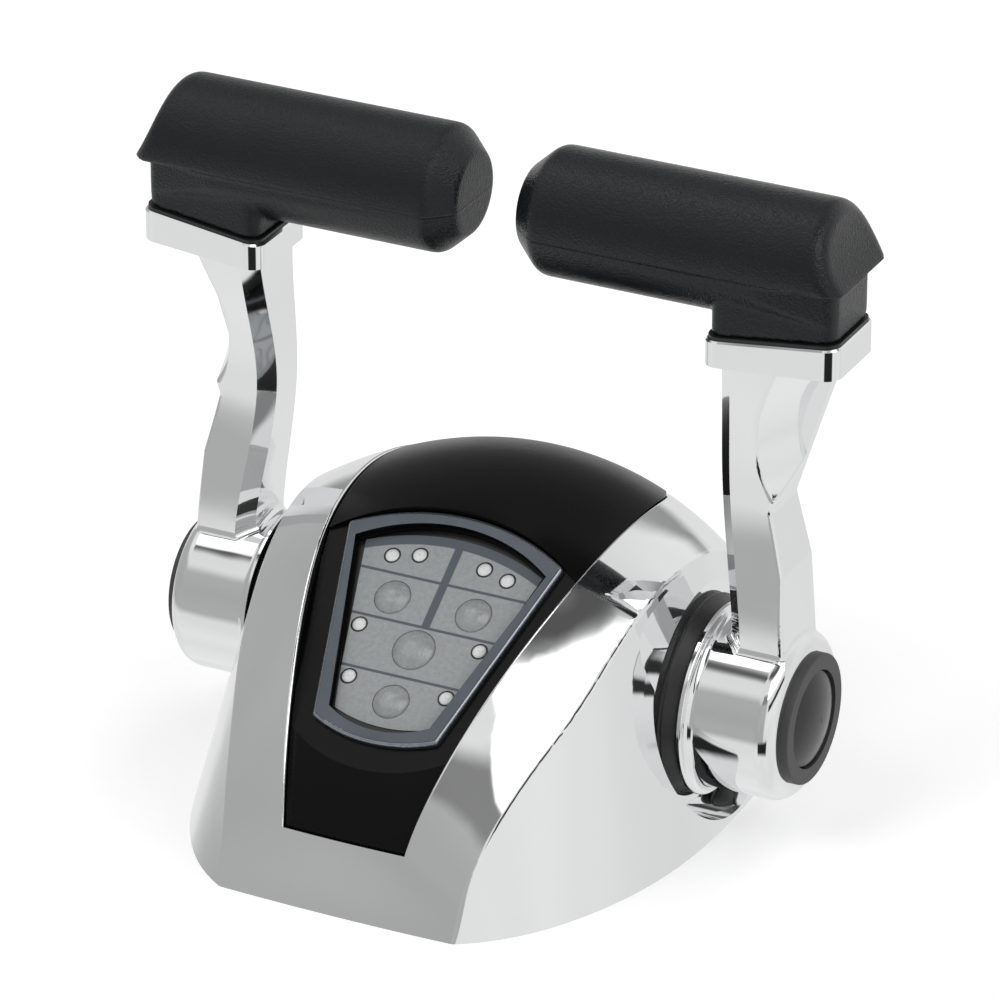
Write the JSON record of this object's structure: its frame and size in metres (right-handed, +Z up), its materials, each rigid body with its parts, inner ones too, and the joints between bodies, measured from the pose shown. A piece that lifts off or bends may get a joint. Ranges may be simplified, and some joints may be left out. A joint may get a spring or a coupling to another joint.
{
  "type": "boat throttle control lever head",
  "caption": "Helm-top throttle control head: crowned chrome shell, black console insert with key panel, and two side levers with rubber T-handles.",
  "frame": {"origin": "on the deck plane under the lever axis, in the middle of the bolt pattern", "axes": "+Z up from the deck, -Y towards the operator, +X to starboard along the lever axis"},
  "size_m": [0.2072, 0.1716, 0.1834],
  "materials": {
    "chrome": "mirror-polished chrome plate",
    "black_gloss": "gloss black",
    "bezel": "satin blue-grey",
    "key_sheet": "satin grey film",
    "key": "satin grey film",
    "board": "circuit board",
    "lens": "clear white lens",
    "grip_rubber": "fine-grained black rubber",
    "seal_rubber": "smooth black rubber",
    "hub_ring": "matte dark grey",
    "steel": "turned stainless steel",
    "bronze": "sintered bronze",
    "gear_plastic": "acetal",
    "cast_base": "cast aluminium",
    "sensor": "moulded black plastic"
  },
  "bodies": {
    "root": {"housing": "chrome", "base_plate": "cast_base", "deck_gasket": "seal_rubber", "base_screws": "steel", "console_insert": "black_gloss", "keypad_bezel": "bezel", "keypad_overlay": "key_sheet", "keypad_circuit_board": "board", "led_lenses": "lens", "mechanism_bracket": "cast_base", "bracket_screws": "steel", "starboard_hub_seal": "seal_rubber", "starboard_outer_bushing": "bronze", "starboard_inner_bushing": "bronze", "starboard_friction_shoe": "sensor", "starboard_sensor_body": "sensor", "port_hub_seal": "seal_rubber", "port_outer_bushing": "bronze", "port_inner_bushing": "bronze", "port_friction_shoe": "sensor", "port_sensor_body": "sensor"},
    "starboard_lever": {"starboard_lever_arm": "chrome", "starboard_lever_collar": "chrome", "starboard_grip_gasket": "seal_rubber", "starboard_lever_grip": "grip_rubber", "starboard_hub_ring": "hub_ring", "starboard_hub_cap": "black_gloss", "starboard_hub_screw": "steel", "starboard_lever_shaft": "steel", "starboard_drive_gear": "gear_plastic"},
    "starboard_sensor": {"starboard_sensor_pinion": "gear_plastic"},
    "port_lever": {"port_lever_arm": "chrome", "port_lever_collar": "chrome", "port_grip_gasket": "seal_rubber", "port_lever_grip": "grip_rubber", "port_hub_ring": "hub_ring", "port_hub_cap": "black_gloss", "port_hub_screw": "steel", "port_lever_shaft": "steel", "port_drive_gear": "gear_plastic"},
    "port_sensor": {"port_sensor_pinion": "gear_plastic"},
    "button_upper_left": {"button_upper_left": "key"},
    "button_upper_right": {"button_upper_right": "key"},
    "button_middle": {"button_middle": "key"},
    "button_lower": {"button_lower": "key"}
  },
  "joints": [
    {"name": "starboard_lever_hinge", "type": "hinge", "parent": "root", "child": "starboard_lever", "pos_m": [0, 0, 0.0337], "axis": [1, 0, 0], "range_deg": [-75, 75]},
    {"name": "starboard_sensor_spin", "type": "hinge", "parent": "root", "child": "starboard_sensor", "pos_m": [0, 0.03, 0.0337], "axis": [1, 0, 0], "range_deg": [-150, 150]},
    {"name": "port_lever_hinge", "type": "hinge", "parent": "root", "child": "port_lever", "pos_m": [0, 0, 0.0337], "axis": [1, 0, 0], "range_deg": [-75, 75]},
    {"name": "port_sensor_spin", "type": "hinge", "parent": "root", "child": "port_sensor", "pos_m": [0, 0.03, 0.0337], "axis": [1, 0, 0], "range_deg": [-150, 150]},
    {"name": "button_upper_left_press", "type": "slide", "parent": "root", "child": "button_upper_left", "axis": [0, 0.5664, -0.8241], "range_m": [0, 0.0007], "stiffness_N_per_m": 900, "springref_m": -0.0006},
    {"name": "button_upper_right_press", "type": "slide", "parent": "root", "child": "button_upper_right", "axis": [0, 0.5664, -0.8241], "range_m": [0, 0.0007], "stiffness_N_per_m": 900, "springref_m": -0.0006},
    {"name": "button_middle_press", "type": "slide", "parent": "root", "child": "button_middle", "axis": [0, 0.5664, -0.8241], "range_m": [0, 0.0007], "stiffness_N_per_m": 900, "springref_m": -0.0006},
    {"name": "button_lower_press", "type": "slide", "parent": "root", "child": "button_lower", "axis": [0, 0.5664, -0.8241], "range_m": [0, 0.0007], "stiffness_N_per_m": 900, "springref_m": -0.0006}
  ],
  "couplings": [
    {"joint": "starboard_sensor_spin", "follows": "starboard_lever_hinge", "ratio": -2},
    {"joint": "port_sensor_spin", "follows": "port_lever_hinge", "ratio": -2}
  ]
}
